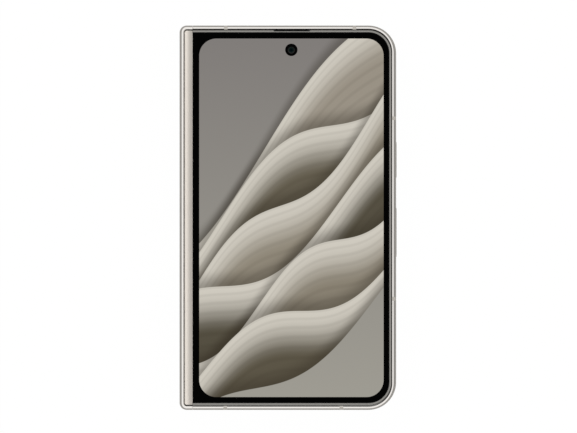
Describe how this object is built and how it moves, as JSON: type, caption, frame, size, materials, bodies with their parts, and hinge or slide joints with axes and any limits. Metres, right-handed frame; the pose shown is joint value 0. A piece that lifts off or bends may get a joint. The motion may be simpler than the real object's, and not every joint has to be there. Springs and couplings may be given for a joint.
{
  "type": "foldable smartphone",
  "caption": "Book-style foldable smartphone with a geared double-pivot hinge, outer and inner displays, side keys, a camera bar and a SIM tray.",
  "frame": {"origin": "middle of the closed body's plan, in the plane of the camera bar's lowest face", "axes": "+Z from the camera side up to the cover display, +Y to the top edge, +X away from the hinge"},
  "size_m": [0.0791, 0.1396, 0.0134],
  "materials": {
    "polished_frame": "polished, warm silver",
    "satin_rail": "satin anodised, porcelain tan",
    "hinge_steel": "polished",
    "key_metal": "satin anodised",
    "midplate_alloy": "bead blasted",
    "machined_steel": "machined",
    "gear_bronze": "machined",
    "cover_glass": "clear over a black border",
    "rear_glass": "frosted, porcelain",
    "display_panel": "laminated panel",
    "bezel_plastic": "fine matt",
    "antenna_plastic": "matt, frame coloured",
    "camera_black": "black moulded lens barrels",
    "flash_lens": "pale diffuser",
    "circuit_board": "solder resist",
    "shield_tin": "tinned sheet",
    "battery_foil": "foil wrap",
    "copper": "enamelled copper",
    "flex_film": "polyimide film",
    "module_black": "moulded",
    "motor_steel": "plated"
  },
  "bodies": {
    "rear_half": {"rear_frame": "polished_frame", "rear_hinge_rail": "satin_rail", "rear_mid_plate": "midplate_alloy", "rear_glass": "rear_glass", "camera_bar": "polished_frame", "camera_window": "cover_glass", "main_camera": "camera_black", "ultrawide_camera": "camera_black", "telephoto_camera": "camera_black", "camera_flash": "flash_lens", "mainboard": "circuit_board", "board_shields": "shield_tin", "rear_battery": "battery_foil", "wireless_coil": "copper", "usb_c_port": "shield_tin", "bottom_speaker": "module_black", "top_speaker": "module_black", "haptic_motor": "motor_steel", "key_flex": "flex_film", "rocker_pin": "machined_steel", "inner_camera": "camera_black", "rear_bezel": "bezel_plastic", "rear_support_plate": "machined_steel", "inner_display_rear": "display_panel", "rear_hinge_arms": "machined_steel", "rear_antenna_breaks": "antenna_plastic", "rear_magnets": "motor_steel", "rear_screws": "machined_steel"},
    "spine": {"hinge_cover": "hinge_steel", "hinge_end_caps": "bezel_plastic", "hinge_bases": "machined_steel", "hinge_pins": "machined_steel", "inner_display_fold": "display_panel", "hinge_flex_cable": "flex_film"},
    "front_half": {"front_frame": "polished_frame", "front_hinge_rail": "satin_rail", "front_mid_plate": "midplate_alloy", "cover_glass": "cover_glass", "cover_display_panel": "display_panel", "cover_camera": "camera_black", "earpiece_mesh": "module_black", "earpiece_speaker": "module_black", "front_battery": "battery_foil", "sub_board": "circuit_board", "sim_reader": "shield_tin", "front_bezel": "bezel_plastic", "front_support_plate": "machined_steel", "inner_display_front": "display_panel", "front_hinge_arms": "machined_steel", "front_antenna_breaks": "antenna_plastic", "front_magnets": "motor_steel", "front_screws": "machined_steel"},
    "idler_rear": {"rear_idler_gears": "gear_bronze"},
    "idler_front": {"front_idler_gears": "gear_bronze"},
    "power_button": {"power_button": "key_metal"},
    "volume_rocker": {"volume_rocker": "key_metal"},
    "sim_tray": {"sim_tray": "key_metal"}
  },
  "joints": [
    {"name": "hinge_rear", "type": "hinge", "parent": "rear_half", "child": "spine", "pos_m": [-0.0373, 0, 0.00525], "axis": [0, -1, 0], "range_deg": [0, 90], "deforming": ["inner_display_fold", "hinge_flex_cable"]},
    {"name": "hinge_front", "type": "hinge", "parent": "spine", "child": "front_half", "pos_m": [-0.0373, 0, 0.00945], "axis": [0, -1, 0], "range_deg": [0, 90]},
    {"name": "gear_rear", "type": "hinge", "parent": "spine", "child": "idler_rear", "pos_m": [-0.0373, 0, 0.00665], "axis": [0, -1, 0], "range_deg": [0, 90]},
    {"name": "gear_front", "type": "hinge", "parent": "spine", "child": "idler_front", "pos_m": [-0.0373, 0, 0.00805], "axis": [0, -1, 0], "range_deg": [-90, 0]},
    {"name": "power_press", "type": "slide", "parent": "rear_half", "child": "power_button", "axis": [-1, 0, 0], "range_m": [0, 0.0003], "stiffness_N_per_m": 2000, "springref_m": -0.0002},
    {"name": "volume_tip", "type": "hinge", "parent": "rear_half", "child": "volume_rocker", "pos_m": [0.0383, -0.00535, 0.00472], "axis": [0, 0, 1], "range_deg": [-1.6, 1.6], "stiffness_Nm_per_rad": 0.2},
    {"name": "tray_slide", "type": "slide", "parent": "front_half", "child": "sim_tray", "axis": [0, -1, 0], "range_m": [0, 0.016]}
  ],
  "couplings": [
    {"joint": "hinge_front", "follows": "hinge_rear", "ratio": 1},
    {"joint": "gear_rear", "follows": "hinge_rear", "ratio": 1},
    {"joint": "gear_front", "follows": "hinge_rear", "ratio": -1}
  ]
}
